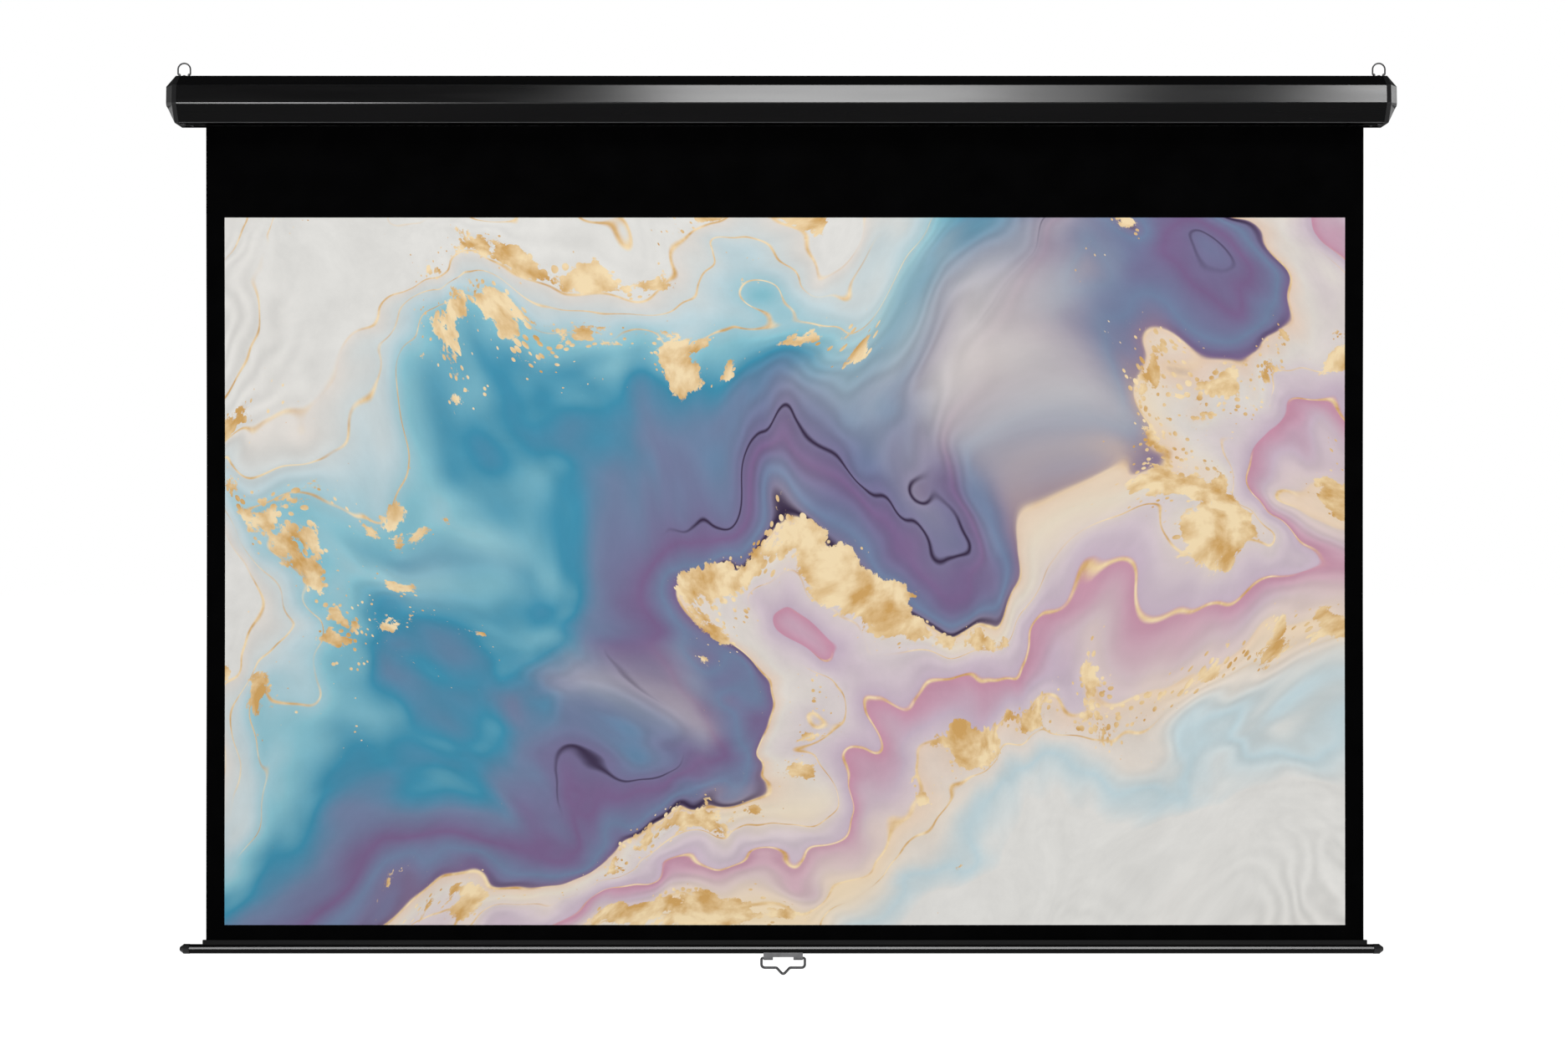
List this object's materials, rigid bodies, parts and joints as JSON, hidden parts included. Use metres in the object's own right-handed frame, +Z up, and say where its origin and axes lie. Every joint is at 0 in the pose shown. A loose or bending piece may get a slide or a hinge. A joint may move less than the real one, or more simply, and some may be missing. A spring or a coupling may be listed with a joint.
{
  "type": "pull down projector screen",
  "caption": "Wall hung spring roller projection screen with a faceted case, a black bordered fabric, a round weight bar and a hinged wire pull handle.",
  "frame": {"origin": "on the wall plane behind the case, at the middle of the case's length and height", "axes": "+X along the case to the viewer's right, +Y out of the back into the wall, +Z up"},
  "size_m": [2.203, 0.0838, 1.6445],
  "materials": {
    "case_coat": "black satin powder coat",
    "cap_plastic": "black moulded plastic, fine grain",
    "black_screw": "black oxide",
    "dark_steel": "dark plated steel",
    "zinc_steel": "zinc plated steel",
    "saddle_steel": "dark plated steel",
    "black_fabric": "matte black backed screen cloth",
    "view_layer": "matte viewing layer with a marbled ink picture",
    "grey_nylon": "moulded nylon",
    "spring_steel": "oiled spring wire",
    "bar_coat": "glossy black anodised",
    "bracket_steel": "dark plated steel",
    "handle_wire": "dark chrome plated wire",
    "loop_wire": "plated spring wire"
  },
  "bodies": {
    "root": {"case_housing": "case_coat", "right_end_cap": "cap_plastic", "left_end_cap": "cap_plastic", "right_keyhole_insert": "zinc_steel", "left_keyhole_insert": "zinc_steel", "right_case_screw": "black_screw", "left_case_screw": "black_screw", "right_rear_bracket_screw": "dark_steel", "left_rear_bracket_screw": "dark_steel", "right_front_bracket_screw": "dark_steel", "left_front_bracket_screw": "dark_steel", "right_end_bracket": "zinc_steel", "left_end_bracket": "zinc_steel", "screen_fabric": "black_fabric", "view_surface": "view_layer", "spindle": "zinc_steel", "ratchet_hub": "zinc_steel", "spring_collar": "grey_nylon", "right_bearing_bush": "grey_nylon", "left_loop_saddle": "saddle_steel", "left_saddle_rivet": "dark_steel", "right_loop_saddle": "saddle_steel", "right_saddle_rivet": "dark_steel"},
    "roller": {"roller_tube": "zinc_steel", "fabric_roll": "black_fabric", "fabric_spline": "grey_nylon", "left_roller_plug": "grey_nylon", "right_roller_plug": "grey_nylon", "idler_pin": "zinc_steel", "torsion_spring": "spring_steel", "upper_pawl_pin": "dark_steel", "lower_pawl_pin": "dark_steel"},
    "upper_pawl": {"upper_pawl": "dark_steel"},
    "lower_pawl": {"lower_pawl": "dark_steel"},
    "weight_bar": {"weight_bar": "bar_coat", "hem_rod": "grey_nylon", "right_bar_plug": "cap_plastic", "left_bar_plug": "cap_plastic", "handle_bracket": "bracket_steel", "left_handle_rivet": "zinc_steel", "right_handle_rivet": "zinc_steel"},
    "pull_handle": {"pull_handle": "handle_wire"},
    "left_hanging_loop": {"left_hanging_loop": "loop_wire"},
    "right_hanging_loop": {"right_hanging_loop": "loop_wire"}
  },
  "joints": [
    {"name": "bar_travel", "type": "slide", "parent": "root", "child": "weight_bar", "axis": [0, 0, 1], "range_m": [0, 1.468], "deforming": ["screen_fabric", "view_surface"]},
    {"name": "roller_spin", "type": "hinge", "parent": "root", "child": "roller", "pos_m": [0, -0.042, 0.001], "axis": [1, 0, 0], "range_deg": [0, 3600.1], "deforming": ["torsion_spring"]},
    {"name": "upper_pawl_pivot", "type": "hinge", "parent": "roller", "child": "upper_pawl", "pos_m": [-1.05, -0.042, 0.0155], "axis": [1, 0, 0], "range_deg": [0, 26]},
    {"name": "lower_pawl_pivot", "type": "hinge", "parent": "roller", "child": "lower_pawl", "pos_m": [-1.05, -0.042, -0.0135], "axis": [1, 0, 0], "range_deg": [0, 26]},
    {"name": "pull_handle_pivot", "type": "hinge", "parent": "weight_bar", "child": "pull_handle", "pos_m": [0.003, -0.01996, -1.5457], "axis": [1, 0, 0], "range_deg": [-95, 95]},
    {"name": "left_loop_pivot", "type": "hinge", "parent": "root", "child": "left_hanging_loop", "pos_m": [-1.07455, -0.038, 0.0466], "axis": [1, 0, 0], "range_deg": [-90, 90]},
    {"name": "right_loop_pivot", "type": "hinge", "parent": "root", "child": "right_hanging_loop", "pos_m": [1.07455, -0.038, 0.0466], "axis": [1, 0, 0], "range_deg": [-90, 90]}
  ],
  "couplings": [
    {"joint": "roller_spin", "follows": "bar_travel", "rad_per_m": 42.801}
  ]
}
